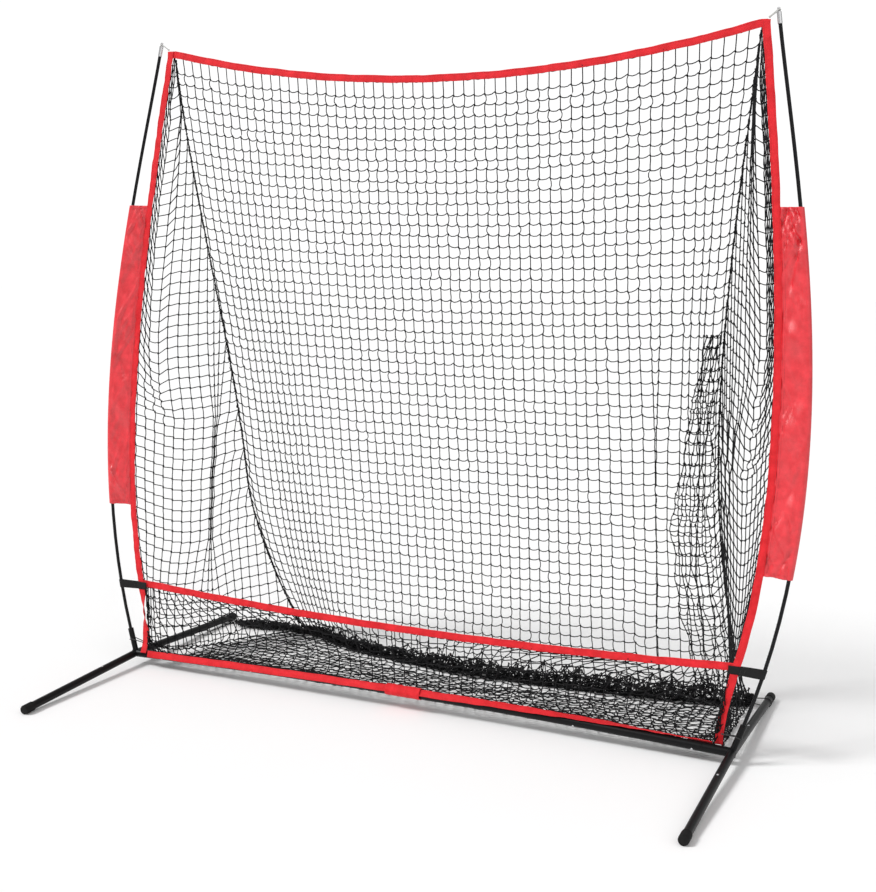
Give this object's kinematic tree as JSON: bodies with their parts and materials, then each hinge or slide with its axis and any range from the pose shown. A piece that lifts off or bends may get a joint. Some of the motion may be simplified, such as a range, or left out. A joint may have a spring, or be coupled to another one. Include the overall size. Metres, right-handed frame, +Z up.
{
  "type": "pitching target net",
  "caption": "Free-standing pitching target net: steel base with legs, bowed poles, red-trimmed black mesh bag with a low front pocket, and red side sleeves.",
  "frame": {"origin": "on the ground at the middle of the four feet", "axes": "+X along the cross tube to the right of the mouth, +Y to the rear, the way a ball is thrown, +Z up"},
  "size_m": [2.3966, 1.1966, 2.1302],
  "materials": {
    "black_steel": "semi-gloss black powder coat",
    "spring_steel": "plated spring steel",
    "rubber": "matt black moulded rubber",
    "fibreglass": "glossy black pultruded fibreglass",
    "bright_metal": "bright plated metal",
    "black_net": "knotted black polyethylene twine",
    "red_fabric": "satin red polyester",
    "black_webbing": "woven black webbing and elastic",
    "pale_elastic": "pale braided elastic"
  },
  "bodies": {
    "frame": {"cross_tube_centre": "black_steel", "cross_tube_left": "black_steel", "cross_tube_right": "black_steel", "corner_bracket_left": "black_steel", "corner_bracket_right": "black_steel", "pole_lower_left": "fibreglass", "pole_lower_right": "fibreglass", "pole_middle_left": "fibreglass", "pole_middle_right": "fibreglass", "pole_upper_left": "fibreglass", "pole_upper_right": "fibreglass", "pole_ferrule_lower_left": "bright_metal", "pole_ferrule_lower_right": "bright_metal", "pole_ferrule_middle_left": "bright_metal", "pole_ferrule_middle_right": "bright_metal", "pole_tip_left": "bright_metal", "pole_tip_right": "bright_metal", "net_back": "black_net", "net_side_left": "black_net", "net_side_right": "black_net", "net_floor": "black_net", "net_front_lip": "black_net", "trim_top": "red_fabric", "trim_middle": "red_fabric", "trim_bottom": "red_fabric", "trim_side_left": "red_fabric", "trim_side_right": "red_fabric", "sleeve_left": "red_fabric", "sleeve_right": "red_fabric", "centre_wrap": "red_fabric", "pole_strap_left": "black_webbing", "pole_strap_right": "black_webbing", "corner_loop_bottom_left": "black_webbing", "corner_loop_bottom_right": "black_webbing", "corner_loop_rear_left": "black_webbing", "corner_loop_rear_right": "black_webbing", "corner_loop_top_left": "pale_elastic", "corner_loop_top_right": "pale_elastic"},
    "leg_front_left": {"leg_tube_front_left": "black_steel", "foot_cap_front_left": "rubber"},
    "leg_front_right": {"leg_tube_front_right": "black_steel", "foot_cap_front_right": "rubber"},
    "leg_rear_left": {"leg_tube_rear_left": "black_steel", "foot_cap_rear_left": "rubber"},
    "leg_rear_right": {"leg_tube_rear_right": "black_steel", "foot_cap_rear_right": "rubber"},
    "button_leg_front_left": {"leg_button_front_left": "spring_steel"},
    "button_leg_front_right": {"leg_button_front_right": "spring_steel"},
    "button_leg_rear_left": {"leg_button_rear_left": "spring_steel"},
    "button_leg_rear_right": {"leg_button_rear_right": "spring_steel"},
    "button_tube_outer_left": {"tube_button_outer_left": "spring_steel"},
    "button_tube_outer_right": {"tube_button_outer_right": "spring_steel"},
    "button_tube_inner_left": {"tube_button_inner_left": "spring_steel"},
    "button_tube_inner_right": {"tube_button_inner_right": "spring_steel"}
  },
  "joints": [
    {"name": "leg_pull_front_left", "type": "slide", "parent": "frame", "child": "leg_front_left", "axis": [0, -0.9989, -0.0465], "range_m": [0, 0.065], "deforming": ["leg_button_front_left"]},
    {"name": "leg_pull_front_right", "type": "slide", "parent": "frame", "child": "leg_front_right", "axis": [0, -0.9989, -0.0465], "range_m": [0, 0.065], "deforming": ["leg_button_front_right"]},
    {"name": "leg_pull_rear_left", "type": "slide", "parent": "frame", "child": "leg_rear_left", "axis": [0, 0.9991, -0.0426], "range_m": [0, 0.065], "deforming": ["leg_button_rear_left"]},
    {"name": "leg_pull_rear_right", "type": "slide", "parent": "frame", "child": "leg_rear_right", "axis": [0, 0.9991, -0.0426], "range_m": [0, 0.065], "deforming": ["leg_button_rear_right"]},
    {"name": "button_press_leg_front_left", "type": "slide", "parent": "frame", "child": "button_leg_front_left", "axis": [0, 0.0465, -0.9989], "range_m": [0, 0.0035], "stiffness_N_per_m": 1200, "springref_m": -0.002},
    {"name": "button_press_leg_front_right", "type": "slide", "parent": "frame", "child": "button_leg_front_right", "axis": [0, 0.0465, -0.9989], "range_m": [0, 0.0035], "stiffness_N_per_m": 1200, "springref_m": -0.002},
    {"name": "button_press_leg_rear_left", "type": "slide", "parent": "frame", "child": "button_leg_rear_left", "axis": [0, -0.0426, -0.9991], "range_m": [0, 0.0035], "stiffness_N_per_m": 1200, "springref_m": -0.002},
    {"name": "button_press_leg_rear_right", "type": "slide", "parent": "frame", "child": "button_leg_rear_right", "axis": [0, -0.0426, -0.9991], "range_m": [0, 0.0035], "stiffness_N_per_m": 1200, "springref_m": -0.002},
    {"name": "button_press_tube_outer_left", "type": "slide", "parent": "frame", "child": "button_tube_outer_left", "axis": [0, 0.7809, 0.6247], "range_m": [0, 0.0035], "stiffness_N_per_m": 1200, "springref_m": -0.002},
    {"name": "button_press_tube_outer_right", "type": "slide", "parent": "frame", "child": "button_tube_outer_right", "axis": [0, 0.7809, 0.6247], "range_m": [0, 0.0035], "stiffness_N_per_m": 1200, "springref_m": -0.002},
    {"name": "button_press_tube_inner_left", "type": "slide", "parent": "frame", "child": "button_tube_inner_left", "axis": [0, 0.7809, 0.6247], "range_m": [0, 0.0035], "stiffness_N_per_m": 1200, "springref_m": -0.002},
    {"name": "button_press_tube_inner_right", "type": "slide", "parent": "frame", "child": "button_tube_inner_right", "axis": [0, 0.7809, 0.6247], "range_m": [0, 0.0035], "stiffness_N_per_m": 1200, "springref_m": -0.002}
  ]
}
